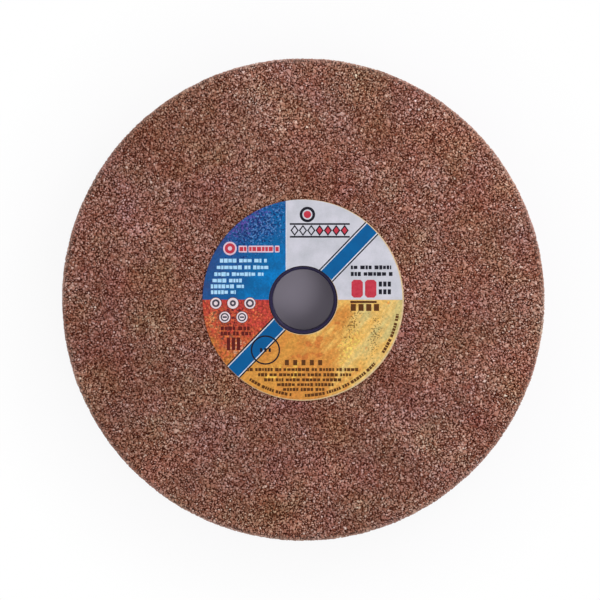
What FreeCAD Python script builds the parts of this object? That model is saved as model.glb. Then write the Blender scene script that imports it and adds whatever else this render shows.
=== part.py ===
"""Bench grinding wheel: a straight vitrified abrasive wheel, its bore bush and its round paper label.

The wheel lies on its bare side with the labelled side up. The origin is the centre of the bore
in the bare side's plane, +Z runs along the bore towards the label, and lengths are millimetres.
"""

import FreeCAD
import Part
import Sketcher
import os

# Driving dimensions: alias, value and what it measures.
SIZES = [
    ("wheel_diameter", 250.0, "across the grinding rim"),
    ("wheel_thickness", 25.0, "from side to side"),
    ("rim_edge_radius", 1.2, "round of the two edges between rim and sides"),
    ("bore_diameter", 32.0, "of the bush, for the grinder's spindle"),
    ("bush_wall", 1.6, "of the moulded bush"),
    ("bush_glue_film", 0.05, "between bush and abrasive, all round"),
    ("bush_set_back", 0.5, "of each end of the bush below the wheel's side"),
    ("bush_lead_in", 0.5, "chamfer at each mouth of the bore"),
    ("label_diameter", 104.0, "of the paper label"),
    ("label_thickness", 0.35, "of the paper label"),
    ("label_hole_margin", 0.1, "from the hole moulded in the abrasive to the label's hole"),
]

# Sizes that follow from the driving ones, as formulas on the same sheet.
WORKED_OUT = [
    ("bush_radius", "=bore_diameter / 2 + bush_wall"),
    ("core_radius", "=bush_radius + bush_glue_film"),
    ("bush_length", "=wheel_thickness - 2 * bush_set_back"),
    ("label_hole_radius", "=core_radius + label_hole_margin"),
]

EDGE_TOLERANCE = 1e-4


def make_sheet(doc):
    """Puts every size on a spreadsheet, in a cell with an alias."""
    sheet = doc.addObject("Spreadsheet::Sheet", "Sizes")
    for row, (alias, value, meaning) in enumerate(SIZES, start=1):
        sheet.set(f"A{row}", meaning)
        sheet.set(f"B{row}", str(value))
        sheet.setAlias(f"B{row}", alias)
    for row, (alias, formula) in enumerate(WORKED_OUT, start=len(SIZES) + 1):
        sheet.set(f"A{row}", "worked out")
        sheet.set(f"B{row}", formula)
        sheet.setAlias(f"B{row}", alias)
    doc.recompute()
    return sheet


def make_body(doc, name):
    """An empty body whose label names its file."""
    body = doc.addObject("PartDesign::Body", name)
    body.Label = name
    return body


def add_sketch(body, name, plane_role):
    """A sketch on one of the body's own origin planes."""
    plane = next(f for f in body.Origin.OriginFeatures if f.Role == plane_role)
    sketch = body.newObject("Sketcher::SketchObject", name)
    sketch.AttachmentSupport = [(plane, "")]
    sketch.MapMode = "FlatFace"
    return sketch


def bind(sketch, constraint, name, formula):
    """Adds a named dimension to a sketch and ties it to a formula on the sheet."""
    index = sketch.addConstraint(constraint)
    sketch.renameConstraint(index, name)
    sketch.setExpression(f"Constraints.{name}", formula)


def draw_half_section(sketch, inner, outer, low, high):
    """Draws a ring's half section, bore side to the left, and ties its four sides to formulas."""
    corners = [(1, 0), (2, 0), (2, 1), (1, 1)]
    points = [FreeCAD.Vector(x, y, 0) for x, y in corners]
    for i, start in enumerate(points):
        sketch.addGeometry(Part.LineSegment(start, points[(i + 1) % 4]), False)
    for i in range(4):
        sketch.addConstraint(Sketcher.Constraint("Coincident", i, 2, (i + 1) % 4, 1))
    bottom, rim, top, bore = range(4)
    for line in (bottom, top):
        sketch.addConstraint(Sketcher.Constraint("Horizontal", line))
    for line in (rim, bore):
        sketch.addConstraint(Sketcher.Constraint("Vertical", line))
    origin, start_point = (-1, 1), 1
    bind(sketch, Sketcher.Constraint("DistanceX", *origin, bottom, start_point, 1.0), "inner", inner)
    bind(sketch, Sketcher.Constraint("DistanceX", *origin, rim, start_point, 2.0), "outer", outer)
    if low is None:
        sketch.addConstraint(Sketcher.Constraint("PointOnObject", bottom, start_point, -1))
    else:
        bind(sketch, Sketcher.Constraint("DistanceY", *origin, bottom, start_point, 0.5), "low", low)
    bind(sketch, Sketcher.Constraint("DistanceY", *origin, top, start_point, 1.0), "high", high)


def draw_circle(sketch, name, start_radius, formula):
    """Draws a circle about the sketch's origin and ties its radius to a formula."""
    centre, up = FreeCAD.Vector(0, 0, 0), FreeCAD.Vector(0, 0, 1)
    circle = sketch.addGeometry(Part.Circle(centre, up, start_radius), False)
    sketch.addConstraint(Sketcher.Constraint("Coincident", circle, 3, -1, 1))
    bind(sketch, Sketcher.Constraint("Radius", circle, start_radius), name, formula)


def revolve(body, sketch, name):
    """Turns a half section once round the body's Z axis."""
    turned = body.newObject("PartDesign::Revolution", name)
    turned.Profile = sketch
    turned.ReferenceAxis = (sketch, ["V_Axis"])
    turned.Angle = 360
    sketch.Visibility = False
    return turned


def circular_edges(feature, radius):
    """Names of a feature's full circular edges of one radius."""
    names = []
    for number, edge in enumerate(feature.Shape.Edges, start=1):
        circle = edge.Curve
        if isinstance(circle, Part.Circle) and abs(circle.Radius - radius) < EDGE_TOLERANCE:
            names.append(f"Edge{number}")
    return names


def break_edges(body, feature, kind, name, radius, size_property, formula):
    """Rounds or chamfers the two circular edges of one radius, top and bottom."""
    edges = circular_edges(feature, radius)
    if len(edges) != 2:
        raise RuntimeError(f"{name}: found {len(edges)} edges of radius {radius}, not 2")
    dressed = body.newObject(kind, name)
    dressed.Base = (feature, edges)
    dressed.setExpression(size_property, formula)
    return dressed


def make_abrasive_wheel(doc, sheet):
    """The pressed and fired wheel: flat sides, a straight rim with rounded edges and a moulded hole."""
    body = make_body(doc, "abrasive_wheel")
    section = add_sketch(body, "WheelSection", "XZ_Plane")
    draw_half_section(section, "Sizes.core_radius", "Sizes.wheel_diameter / 2", None, "Sizes.wheel_thickness")
    disc = revolve(body, section, "WheelDisc")
    doc.recompute()
    break_edges(
        body,
        disc,
        "PartDesign::Fillet",
        "RimEdges",
        sheet.wheel_diameter / 2,
        "Radius",
        "Sizes.rim_edge_radius",
    )
    doc.recompute()
    return body


def make_bore_bush(doc, sheet):
    """The moulded sleeve that brings the hole to the spindle's size, chamfered at both mouths."""
    body = make_body(doc, "bore_bush")
    section = add_sketch(body, "BushSection", "XZ_Plane")
    draw_half_section(
        section,
        "Sizes.bore_diameter / 2",
        "Sizes.bush_radius",
        "Sizes.bush_set_back",
        "Sizes.bush_set_back + Sizes.bush_length",
    )
    sleeve = revolve(body, section, "Sleeve")
    doc.recompute()
    break_edges(
        body,
        sleeve,
        "PartDesign::Chamfer",
        "BoreLeadIns",
        sheet.bore_diameter / 2,
        "Size",
        "Sizes.bush_lead_in",
    )
    doc.recompute()
    return body


def make_paper_label(doc):
    """The round paper label, glued flat on the upper side around the bore."""
    body = make_body(doc, "paper_label")
    outline = add_sketch(body, "LabelOutline", "XY_Plane")
    draw_circle(outline, "rim", 2.0, "Sizes.label_diameter / 2")
    draw_circle(outline, "hole", 1.0, "Sizes.label_hole_radius")
    sheet_of_paper = body.newObject("PartDesign::Pad", "LabelSheet")
    sheet_of_paper.Profile = outline
    sheet_of_paper.setExpression("Length", "Sizes.label_thickness")
    outline.Visibility = False
    body.setExpression("Placement.Base.z", "Sizes.wheel_thickness")
    doc.recompute()
    return body


def check(doc, bodies):
    """Stops on a failed object or a bad solid, before anything is written."""
    for item in doc.Objects:
        if "Invalid" in item.State or "Error" in item.State:
            raise RuntimeError(f"{item.Name} failed: {item.State}")
    for body in bodies:
        shape = body.Shape
        if shape.isNull() or not shape.isValid() or len(shape.Solids) != 1:
            raise RuntimeError(f"{body.Label} isn't one valid solid")


def main():
    """Builds the wheel and writes each piece to its own file."""
    doc = FreeCAD.newDocument("bench_grinding_wheel")
    sheet = make_sheet(doc)
    bodies = [
        make_abrasive_wheel(doc, sheet),
        make_bore_bush(doc, sheet),
        make_paper_label(doc),
    ]
    check(doc, bodies)
    os.makedirs("parts", exist_ok=True)
    for body in bodies:
        body.Shape.exportStep(f"parts/{body.Label}.step")
        box = body.Shape.optimalBoundingBox(False)
        print(
            f"{body.Label}: {box.XLength:.2f} x {box.YLength:.2f} x {box.ZLength:.2f} mm,"
            f" from z {box.ZMin:.2f}, volume {body.Shape.Volume:.1f} mm3"
        )


main()
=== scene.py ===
"""The looks of a bench grinding wheel: rough fired grit, a moulded bush and a printed paper label.

The wheel lies flat on a pale floor with its label up, and the camera looks almost straight down
the bore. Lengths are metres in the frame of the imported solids, unless a name ends in _mm, and
the label's print is laid out in millimetres from the bore.
"""

import logging
import math
from abc import ABC, abstractmethod
from collections.abc import Iterable
from dataclasses import dataclass
from enum import Enum

import bpy
import numpy as np
from mathutils import Matrix, Vector
from mathutils.geometry import delaunay_2d_cdt


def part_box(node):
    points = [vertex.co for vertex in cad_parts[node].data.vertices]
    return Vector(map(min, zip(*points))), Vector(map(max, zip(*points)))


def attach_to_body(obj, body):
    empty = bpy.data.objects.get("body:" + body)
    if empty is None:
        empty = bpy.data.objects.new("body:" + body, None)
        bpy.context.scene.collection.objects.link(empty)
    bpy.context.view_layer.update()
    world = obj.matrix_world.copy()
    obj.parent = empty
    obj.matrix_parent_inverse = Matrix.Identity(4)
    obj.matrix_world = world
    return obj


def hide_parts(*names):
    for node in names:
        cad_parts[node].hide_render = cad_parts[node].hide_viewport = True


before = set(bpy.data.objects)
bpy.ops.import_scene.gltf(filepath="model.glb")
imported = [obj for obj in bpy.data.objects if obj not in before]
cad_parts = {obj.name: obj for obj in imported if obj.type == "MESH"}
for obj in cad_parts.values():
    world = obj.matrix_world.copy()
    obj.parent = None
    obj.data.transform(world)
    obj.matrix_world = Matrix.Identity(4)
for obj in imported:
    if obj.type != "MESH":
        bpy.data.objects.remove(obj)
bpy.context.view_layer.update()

LOG = logging.getLogger("grinding_wheel")
MM = 0.001
BAKE_MAP = "OFBake"

Colour = tuple[int, int, int]
Pair = tuple[float, float]
Socket = bpy.types.NodeSocket


def linear(colour: Colour) -> tuple[float, float, float, float]:
    """Turns screen values from 0 to 255 into the linear light that shaders take.

    A share of 255 up to 0.04045 is divided by 12.92. A larger one has 0.055 added, is divided
    by 1.055 and raised to the power 2.4.

    Args:
        colour: red, green and blue as a screen shows them.

    Returns:
        The linear red, green and blue, and an alpha of 1.
    """
    shares = (part / 255 for part in colour)
    lit = (s / 12.92 if s <= 0.04045 else ((s + 0.055) / 1.055) ** 2.4 for s in shares)
    return (*lit, 1.0)


# Materials


class NodeSheet:
    """The node tree of a material or a world, with short calls that add nodes and link them."""

    def __init__(self, owner: bpy.types.Material | bpy.types.World) -> None:
        """Empties the tree of a new material or world.

        Args:
            owner: the material or world.
        """
        owner.use_nodes = True
        self.owner = owner
        self.tree = owner.node_tree
        self.tree.nodes.clear()

    def add(self, kind: str, inputs: dict | None = None, **settings: object) -> bpy.types.Node:
        """Adds a node.

        Args:
            kind: the node's type, without its ShaderNode prefix.
            inputs: sockets to link, or constants to set, by input name or number.
            **settings: properties of the node itself.

        Returns:
            The new node.
        """
        node = self.tree.nodes.new(f"ShaderNode{kind}")
        for key, value in settings.items():
            setattr(node, key, value)
        for key, value in (inputs or {}).items():
            if isinstance(value, Socket):
                self.tree.links.new(value, node.inputs[key])
            else:
                node.inputs[key].default_value = value
        return node

    def maths(self, operation: str, a: object, b: object = 0.0, c: object = 0.0) -> Socket:
        """The result of one Math node on up to three sockets or constants."""
        return self.add("Math", {0: a, 1: b, 2: c}, operation=operation).outputs[0]

    def vector_maths(self, operation: str, *values: object) -> Socket:
        """The result of one Vector Math node: a number for a length or dot product, else a vector."""
        node = self.add("VectorMath", dict(enumerate(values)), operation=operation)
        return node.outputs["Value" if operation in ("LENGTH", "DOT_PRODUCT") else "Vector"]

    def mix(self, share: object, a: object, b: object, blend: str = "MIX") -> Socket:
        """Lays colour b over colour a, by a share from 0 to 1."""
        return self.add("Mix", {0: share, 6: a, 7: b}, data_type="RGBA", blend_type=blend).outputs[2]

    def span(self, value: Socket, low: float, high: float, start: float = 0.0, end: float = 1.0) -> Socket:
        """Maps a value from low..high onto start..end, and no further."""
        return self.add("MapRange", {0: value, 1: low, 2: high, 3: start, 4: end}).outputs[0]

    def attribute(self, name: str) -> Socket:
        """The number that each point of a piece has under a name."""
        return self.add("Attribute", attribute_name=name).outputs["Fac"]

    def place_mm(self, turn: float = 0.0, stretch: float = 1.0) -> Socket:
        """The object's own coordinates in millimetres, so that a pattern keeps its real size.

        Args:
            turn: the angle in degrees that the pattern is turned by about Z.
            stretch: how much longer the pattern is along its turned X axis.

        Returns:
            The coordinates.
        """
        place = self.add("TexCoord").outputs["Object"]
        turned = self.add("Mapping", {"Vector": place, "Rotation": (0, 0, -math.radians(turn))})
        scale = (1 / MM / stretch, 1 / MM, 1 / MM)
        return self.add("Mapping", {"Vector": turned.outputs[0], "Scale": scale}).outputs[0]

    def noise(self, place: Socket, grain_mm: float, detail: float = 2.0, output: int = 0) -> Socket:
        """Smooth noise with patches grain_mm apart: values of about 0.5, or colours with output 1."""
        inputs = {"Vector": place, "Scale": 1 / grain_mm, "Detail": detail, "Roughness": 0.6}
        return self.add("TexNoise", inputs).outputs[output]

    def ramp(self, value: Socket, stops: Iterable[tuple[float, Colour]]) -> Socket:
        """Looks a value up in a row of colours.

        Args:
            value: where on the row.
            stops: positions from 0 to 1, each with its screen colour.

        Returns:
            The colour there.
        """
        node = self.add("ValToRGB", {0: value})
        band = node.color_ramp
        for number, (position, colour) in enumerate(stops):
            stop = band.elements[number] if number < 2 else band.elements.new(position)
            stop.position = position
            stop.color = linear(colour)
        return node.outputs[0]

    def bump(self, height: Socket, depth_mm: float) -> Socket:
        """Turns a height into a normal, where a height of 1 lies depth_mm above 0."""
        return self.add("Bump", {"Height": height, "Distance": depth_mm * MM, "Strength": 1.0}).outputs[0]

    def seen(self) -> Socket:
        """Tells the rays that show a thing to the camera: straight, in gloss or through glass.

        Returns:
            1 for such rays, and 0 for those that only carry light.
        """
        path = self.add("LightPath").outputs
        mirrored = self.maths("MAXIMUM", path["Is Glossy Ray"], path["Is Transmission Ray"])
        return self.maths("MAXIMUM", path["Is Camera Ray"], mirrored)

    def finish(self, **inputs: object) -> bpy.types.Material:
        """Ends the tree of a material in one Principled shader.

        Args:
            **inputs: the shader's sockets, with underscores for spaces.

        Returns:
            The finished material.
        """
        named = {key.replace("_", " "): value for key, value in inputs.items()}
        shader = self.add("BsdfPrincipled", named)
        self.add("OutputMaterial", {0: shader.outputs[0]})
        return self.owner


@dataclass(frozen=True)
class Firing:
    """Soft patches of colour that firing leaves on grains and bond alike, and painted shading of pale grey
    over the rounded edges.
    """

    patch_mm: float = 24.0  # from patch to patch
    patch_shares: tuple[float, float, float] = (0.34, 0.34, 0.54)  # strength in red, green and blue
    weights: tuple[float, float, float] = (0.39, 0.52, 0.09)  # of the three in its brightness
    # painted shading: pale grey laid over the rounded edges to dull how brightly they catch the light
    edge_shading: Colour = (168, 159, 151)

    def over(self, sheet: NodeSheet, colour: Socket) -> Socket:
        """Shifts a colour in patches and lays painted edge shading over it, as thick as the piece's values
        for it say.

        The colour is multiplied by one plus the shares times the parts of a noise less their
        weighted mean, so that the patches keep the grit's brightness.

        Args:
            sheet: the material's nodes.
            colour: the grit's colour before the patches and the shading.

        Returns:
            The patched colour with the painted edge shading.
        """
        parts = sheet.noise(sheet.place_mm(), self.patch_mm, output=1)
        mean = sheet.vector_maths("DOT_PRODUCT", parts, self.weights)
        apart = sheet.vector_maths("SUBTRACT", parts, mean)
        gain = sheet.vector_maths("MULTIPLY_ADD", apart, self.patch_shares, (1.0, 1.0, 1.0))
        patched = sheet.mix(1.0, colour, gain, "MULTIPLY")
        # painted shading: pale grey over the rounded edges, as thick as the piece's values say
        return sheet.mix(sheet.attribute("edge_shading"), patched, linear(self.edge_shading))


@dataclass(frozen=True)
class GrainFinish:
    """Crushed brown alumina grains: each has its own tone, from burnt brown to pale pinkish tan."""

    stops: tuple[tuple[float, Colour], ...] = (
        (0.0, (96, 36, 20)),
        (0.25, (139, 81, 62)),
        (0.5, (175, 124, 106)),
        (0.75, (203, 164, 149)),
        (1.0, (230, 208, 197)),
    )
    cloud_mm: float = 0.5  # from one soft cloud to the next
    cloud_share: float = 0.22  # how far a cloud moves the tone
    rough: Pair = (0.85, 0.55)  # at the darkest and at the palest tone
    gloss: float = 0.15
    firing: Firing = Firing()

    def build(self) -> bpy.types.Material:
        """Makes the material: the grain's own tone, clouded a little, picks its colour.

        Returns:
            The material.
        """
        sheet = NodeSheet(bpy.data.materials.new("fired_grain"))
        cloud = sheet.maths("SUBTRACT", sheet.noise(sheet.place_mm(), self.cloud_mm), 0.5)
        tone = sheet.maths("MULTIPLY_ADD", cloud, self.cloud_share, sheet.attribute("tone"))
        return sheet.finish(
            Base_Color=self.firing.over(sheet, sheet.ramp(tone, self.stops)),
            Roughness=sheet.span(tone, 0.0, 1.0, *self.rough),
            Specular_IOR_Level=self.gloss,
        )


@dataclass(frozen=True)
class BondFinish:
    """The fired bond between the grains: finer grit, with painted shade in the pores where it falls away.
    """

    stops: tuple[tuple[float, Colour], ...] = (
        (0.0, (52, 18, 10)),
        (0.4, (94, 48, 34)),
        (0.75, (140, 95, 78)),
        (1.0, (184, 142, 124)),
    )
    grit_mm: float = 0.75  # from cell to cell of fine grit
    pore_mm: float = 1.3  # from pore to pore
    pore_levels: Pair = (0.38, 0.6)  # the noise in a pore's depth and on the grit outside it
    pore_shade: float = 0.25  # painted shade: how bright a pore's depth is beside the grit
    depth_mm: float = 0.35
    rough: Pair = (0.92, 0.7)  # at the darkest and at the palest tone
    gloss: float = 0.1
    firing: Firing = Firing()

    def build(self) -> bpy.types.Material:
        """Makes the material: cells of fine grit, sunk by pores and darkened there by painted shade.

        Returns:
            The material.
        """
        sheet = NodeSheet(bpy.data.materials.new("fired_bond"))
        place = sheet.place_mm()
        cells = sheet.add("TexVoronoi", {"Vector": place, "Scale": 1 / self.grit_mm})
        each = sheet.add("SeparateColor", {0: cells.outputs["Color"]}).outputs[0]
        raised = sheet.span(sheet.noise(place, self.pore_mm, detail=3.0), *self.pore_levels)
        # painted shade: the colour darkens where the pores sink
        light = sheet.maths("MULTIPLY_ADD", raised, 1 - self.pore_shade, self.pore_shade)
        tone = sheet.maths("MULTIPLY", each, light)
        height = sheet.maths("SUBTRACT", raised, cells.outputs["Distance"])
        return sheet.finish(
            Base_Color=self.firing.over(sheet, sheet.ramp(tone, self.stops)),
            Roughness=sheet.span(tone, 0.0, 1.0, *self.rough),
            Normal=sheet.bump(height, self.depth_mm),
            Specular_IOR_Level=self.gloss,
        )


@dataclass(frozen=True)
class BushFinish:
    """Satin moulded plastic, nearly black blue, with faint flow marks and painted shade along its rim."""

    radius_mm: float
    dark: Colour = (16, 8, 36)
    light: Colour = (40, 32, 72)
    # painted shade: the colour at the bush's outer rim, where the label's edge shades it
    rim_shade: Colour = (3, 2, 10)
    rim_shade_mm: float = 0.5  # how far inwards the painted shade reaches
    mark_mm: float = 1.6  # from one flow mark to the next
    fine_mm: float = 0.25  # the same for the finer unevenness
    depth_mm: float = 0.02  # how high both stand
    mark_levels: Pair = (0.3, 0.7)  # the noise between two flow marks and on one
    rough: Pair = (0.38, 0.55)  # between them and on one
    gloss: float = 0.22

    def build(self) -> bpy.types.Material:
        """Makes the material: faint flow marks in colour, gloss and height, and darker painted shade at the
        rim.

        Returns:
            The material.
        """
        sheet = NodeSheet(bpy.data.materials.new("bush_plastic"))
        place = sheet.place_mm()
        flow = sheet.noise(place, self.mark_mm, detail=4.0)
        fine = sheet.noise(place, self.fine_mm)
        plastic = sheet.mix(flow, linear(self.dark), linear(self.light))
        away = sheet.vector_maths("LENGTH", sheet.vector_maths("MULTIPLY", place, (1.0, 1.0, 0.0)))
        # painted shade: darker towards the bush's outer radius
        rim_shaded = sheet.span(away, self.radius_mm - self.rim_shade_mm, self.radius_mm)
        return sheet.finish(
            Base_Color=sheet.mix(rim_shaded, plastic, linear(self.rim_shade)),
            Roughness=sheet.span(flow, *self.mark_levels, *self.rough),
            Normal=sheet.bump(sheet.maths("ADD", flow, fine), self.depth_mm),
            Specular_IOR_Level=self.gloss,
        )


@dataclass(frozen=True)
class Mottle:
    """Soft uneven shades in a printed ink: patches, or streaks where they are stretched."""

    size_mm: float  # from patch to patch
    amount: float  # how far they move the ink along its shades, at most
    stretch: float = 1.0  # how many times longer than wide they are
    turn: float = 0.0  # the angle in degrees of their longer axis

    def over(self, sheet: NodeSheet, value: object) -> Socket:
        """Moves a value up and down by the patches."""
        patches = sheet.noise(sheet.place_mm(self.turn, self.stretch), self.size_mm)
        return sheet.maths("MULTIPLY_ADD", sheet.maths("SUBTRACT", patches, 0.5), 2 * self.amount, value)


@dataclass(frozen=True)
class Fleck:
    """Small flecks of another colour that gather about a place and thin out from there.

    A fleck shows where a noise rises above a limit, and the limit climbs from the densest place
    to the reach.
    """

    colour: Colour
    place: Pair  # where they are densest, in millimetres from the bore
    reach: Pair  # how far they spread along their turned axis and across it
    turn: float = 0.0  # the angle of that axis in degrees
    share: float = 0.5  # how much of the densest place they cover
    size_mm: float = 1.1  # from fleck to fleck
    limits: tuple[float, float, float] = (0.72, 0.38, 0.74)  # densest place at share 0 and 1, and the reach
    edge: float = 9.0  # how sharply a fleck ends
    cover: float = 0.85  # how much a fleck hides of what lies below
    height_reach: float = 1000.0  # far enough to leave the height out

    def over(self, sheet: NodeSheet, colour: Socket) -> Socket:
        """Lays the flecks over a colour.

        Args:
            sheet: the material's nodes.
            colour: what lies below.

        Returns:
            The colour with its flecks.
        """
        flat = sheet.place_mm()
        settings = {
            "Vector": flat,
            "Location": (*self.place, 0.0),
            "Rotation": (0, 0, math.radians(self.turn)),
            "Scale": (*self.reach, self.height_reach),
        }
        away = sheet.add("Mapping", settings, vector_type="TEXTURE").outputs[0]
        bare, covered, end = self.limits
        densest = bare + (covered - bare) * self.share
        limit = sheet.span(sheet.vector_maths("LENGTH", away), 0.0, 1.0, densest, end)
        above = sheet.maths("SUBTRACT", sheet.noise(flat, self.size_mm, detail=1.0), limit)
        mask = sheet.maths("MULTIPLY", above, self.edge)
        share = sheet.add("Clamp", {0: mask, 1: 0.0, 2: self.cover}).outputs[0]
        return sheet.mix(share, colour, linear(self.colour))


@dataclass(frozen=True)
class InkFinish:
    """One printed ink on the label's paper, mottled as a coarse print is."""

    name: str
    shades: tuple[Colour, ...]  # from one end of the mottling to the other
    mottles: tuple[Mottle, ...] = (Mottle(2.0, 0.8),)
    drift: Pair = (0.0, 0.0)  # how far the shades move over the radius, along X and along Y
    start: float = 0.5  # where on the shades the label's centre lies
    flecks: tuple[Fleck, ...] = ()
    coarse: float = 0.02  # how far the brightness swings from spot to spot
    coarse_mm: float = 1.0  # from spot to spot
    coarse_levels: Pair = (0.3, 0.7)  # the noise in the darkest and in the brightest spots
    fibre_mm: float = 0.45  # from fibre to fibre of the paper
    fibre_depth_mm: float = 0.03
    fibre_levels: Pair = (0.25, 0.75)  # the noise between fibres and on one
    fibre_light: Pair = (0.94, 1.04)  # the brightness there
    rough_levels: Pair = (0.2, 0.8)  # the noise in the smoothest and in the roughest places
    rough: Pair = (0.5, 0.65)  # of those places
    gloss: float = 0.12
    radius_mm: float = 52.0  # of the label

    def shade(self, sheet: NodeSheet) -> Socket:
        """Picks the ink's shade by place: its start, moved by the mottling and the drift.

        Args:
            sheet: the material's nodes.

        Returns:
            The colour.
        """
        value = self.start
        for mottle in self.mottles:
            value = mottle.over(sheet, value)
        axes = sheet.add("SeparateXYZ", {0: sheet.place_mm()}).outputs
        for axis, amount in zip(axes, self.drift):
            value = sheet.maths("MULTIPLY_ADD", axis, amount / self.radius_mm, value)
        last = len(self.shades) - 1
        return sheet.ramp(value, [(i / last, shade) for i, shade in enumerate(self.shades)])

    def build(self) -> bpy.types.Material:
        """Makes the material: the shade, its flecks, and the paper's fibre below them.

        Returns:
            The material.
        """
        sheet = NodeSheet(bpy.data.materials.new(self.name))
        colour = self.shade(sheet)
        for fleck in self.flecks:
            colour = fleck.over(sheet, colour)
        fibre = sheet.noise(sheet.place_mm(), self.fibre_mm, detail=3.0)
        spots = sheet.noise(sheet.place_mm(), self.coarse_mm, detail=1.0)
        swing = sheet.span(spots, *self.coarse_levels, 1 - self.coarse, 1 + self.coarse)
        light = sheet.maths("MULTIPLY", swing, sheet.span(fibre, *self.fibre_levels, *self.fibre_light))
        grey = sheet.add("CombineColor", {0: light, 1: light, 2: light}).outputs[0]
        return sheet.finish(
            Base_Color=sheet.mix(1.0, colour, grey, "MULTIPLY"),
            Roughness=sheet.span(fibre, *self.rough_levels, *self.rough),
            Normal=sheet.bump(fibre, self.fibre_depth_mm),
            Specular_IOR_Level=self.gloss,
        )


class Ink(Enum):
    """What the label shows at a place: bare paper, or one of its inks."""

    PAPER = InkFinish("label_paper", ((198, 168, 128), (218, 192, 152)))
    BLUE = InkFinish(
        "ink_blue",
        ((46, 72, 126), (26, 84, 146), (8, 94, 152), (0, 120, 192)),
        (Mottle(8.0, 0.45), Mottle(1.6, 0.15)),
        drift=(1.2, -0.6),
        start=1.38,
        flecks=(
            Fleck((96, 74, 158), (-29.0, 42.0), (32.0, 13.0), 42.0, 0.85, 1.4),
            Fleck((14, 32, 92), (-23.0, 38.0), (34.0, 18.0), 42.0, 1.0, 1.2),
            Fleck((92, 136, 194), (-21.0, 38.0), (32.0, 17.0), 42.0, 0.65, 0.95),
        ),
        coarse=0.14,
    )
    WHITE = InkFinish("ink_white", ((184, 185, 194), (207, 205, 216)), (Mottle(9.0, 1.0),))
    RED = InkFinish(
        "ink_red",
        ((190, 120, 54), (186, 94, 54), (184, 72, 52), (177, 57, 54)),
        (Mottle(5.0, 0.55), Mottle(1.6, 0.5)),
        drift=(0.3, 1.2),
        start=1.1,
        flecks=(
            Fleck((234, 166, 104), (-46.0, -11.0), (22.0, 10.0), 104.0, 0.65, 1.3),
            Fleck((220, 136, 76), (-24.0, -7.0), (16.0, 8.0), 150.0, 0.5, 1.1),
            Fleck((226, 154, 82), (-25.0, -23.0), (26.0, 6.0), 46.2, 0.7, 1.4),
            Fleck((214, 156, 122), (-33.0, -25.0), (16.0, 10.0), 125.0, 1.0, 1.3),
            Fleck((84, 22, 38), (-39.0, -10.0), (24.0, 15.0), 100.0, 0.8, 1.3),
        ),
        coarse=0.5,
        coarse_mm=1.2,
    )
    GOLD = InkFinish(
        "ink_gold",
        ((210, 146, 66), (205, 134, 61), (207, 142, 68), (222, 175, 93), (222, 183, 108), (202, 182, 118)),
        (Mottle(6.0, 0.75, 4.0, 52.0), Mottle(1.6, 0.25, 3.0, 52.0)),
        drift=(0.8, 0.0),
        start=0.24,
        flecks=(
            Fleck((198, 114, 54), (4.0, -27.0), (24.0, 11.0), 38.0, 0.85, 4.5),
            Fleck((240, 192, 84), (-9.0, -37.0), (24.0, 8.0), 12.0, 0.75, 3.0),
            Fleck((112, 80, 38), (25.0, -13.0), (17.0, 7.0), 68.0, 0.8, 0.9),
            Fleck((106, 84, 44), (37.0, -18.0), (21.0, 6.0), 82.0, 0.75, 0.9),
            Fleck((240, 216, 104), (24.0, -24.0), (21.0, 8.0), 58.0, 0.75, 1.1),
        ),
        coarse=0.2,
        coarse_mm=1.3,
    )
    STRIPE = InkFinish("ink_stripe", ((2, 82, 138), (0, 94, 154)), (Mottle(6.0, 0.8),))
    LINE = InkFinish("ink_line", ((194, 198, 210), (216, 220, 230)))
    KEY = InkFinish("ink_key", ((12, 12, 22), (28, 26, 38)))
    PALE = InkFinish("ink_pale", ((142, 200, 236), (190, 224, 248)))
    ROSE = InkFinish("ink_rose", ((212, 178, 194), (228, 204, 216)))
    DISC = InkFinish("ink_disc", ((220, 200, 206), (236, 222, 226)))
    GREY = InkFinish("ink_grey", ((54, 48, 60), (86, 80, 92)))
    SCARLET = InkFinish("ink_scarlet", ((176, 40, 58), (198, 64, 80)))
    BROWN = InkFinish("ink_brown", ((72, 38, 14), (98, 58, 24)))
    MAROON = InkFinish("ink_maroon", ((76, 18, 18), (104, 32, 28)))


# Meshes


def make_piece(
    name: str,
    points: np.ndarray,
    faces: np.ndarray,
    materials: list[bpy.types.Material],
    slots: np.ndarray | None = None,
    smooth: bool = False,
) -> bpy.types.Object:
    """Puts arrays of points and faces into a new mesh object at the origin.

    Args:
        name: the piece's name.
        points: (n, 3) places in metres.
        faces: (m, k) point numbers, k to a face, counter-clockwise as seen from outside.
        materials: the piece's materials.
        slots: (m,) material number of each face, or None for the first.
        smooth: whether faces are shaded smoothly.

    Returns:
        The new object, linked to the scene.
    """
    mesh = bpy.data.meshes.new(name)
    count, corners = faces.shape
    mesh.vertices.add(len(points))
    mesh.vertices.foreach_set("co", points.astype(np.float32).ravel())
    mesh.loops.add(count * corners)
    mesh.loops.foreach_set("vertex_index", faces.astype(np.int32).ravel())
    mesh.polygons.add(count)
    mesh.polygons.foreach_set("loop_start", np.arange(0, count * corners, corners, dtype=np.int32))
    for material in materials:
        mesh.materials.append(material)
    if slots is not None:
        mesh.polygons.foreach_set("material_index", slots.astype(np.int32))
    mesh.update(calc_edges=True)
    mesh.polygons.foreach_set("use_smooth", np.full(count, smooth))
    piece = bpy.data.objects.new(name, mesh)
    bpy.context.scene.collection.objects.link(piece)
    return piece


def give_map(piece: bpy.types.Object, places: np.ndarray) -> None:
    """Gives a piece the map that its colours are baked through: a place for each face corner."""
    layer = piece.data.uv_layers.new(name=BAKE_MAP)
    layer.uv.foreach_set("vector", places.astype(np.float32).ravel())


def give_values(piece: bpy.types.Object, name: str, values: np.ndarray) -> None:
    """Gives each point of a piece a number, which its material reads by the name."""
    layer = piece.data.attributes.new(name, "FLOAT", "POINT")
    layer.data.foreach_set("value", values.astype(np.float32))


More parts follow.
